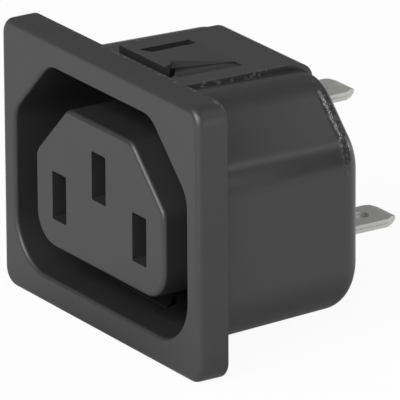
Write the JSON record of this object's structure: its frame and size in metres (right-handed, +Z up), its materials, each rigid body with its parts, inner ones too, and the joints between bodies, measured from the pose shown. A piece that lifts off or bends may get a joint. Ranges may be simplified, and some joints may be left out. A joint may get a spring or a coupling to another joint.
{
  "type": "snap-in panel power socket",
  "caption": "Snap-in panel power outlet: flange and bevelled shroud round a recessed core with upright pin slots, snap tongues above and below, and flat push-on tabs at the rear.",
  "frame": {"origin": "centre of the panel cut-out, in the plane of the flange's rear face", "axes": "+X to the right seen from the front, +Y into the panel towards the tabs, +Z up towards the earth slot"},
  "size_m": [0.0344, 0.028, 0.0272],
  "materials": {
    "moulding": "satin black moulding",
    "contact_strip": "tin-plated, satin"
  },
  "bodies": {
    "root": {"housing": "moulding", "rear_cover": "moulding", "line_contact": "contact_strip", "neutral_contact": "contact_strip", "earth_contact": "contact_strip"}
  },
  "joints": []
}
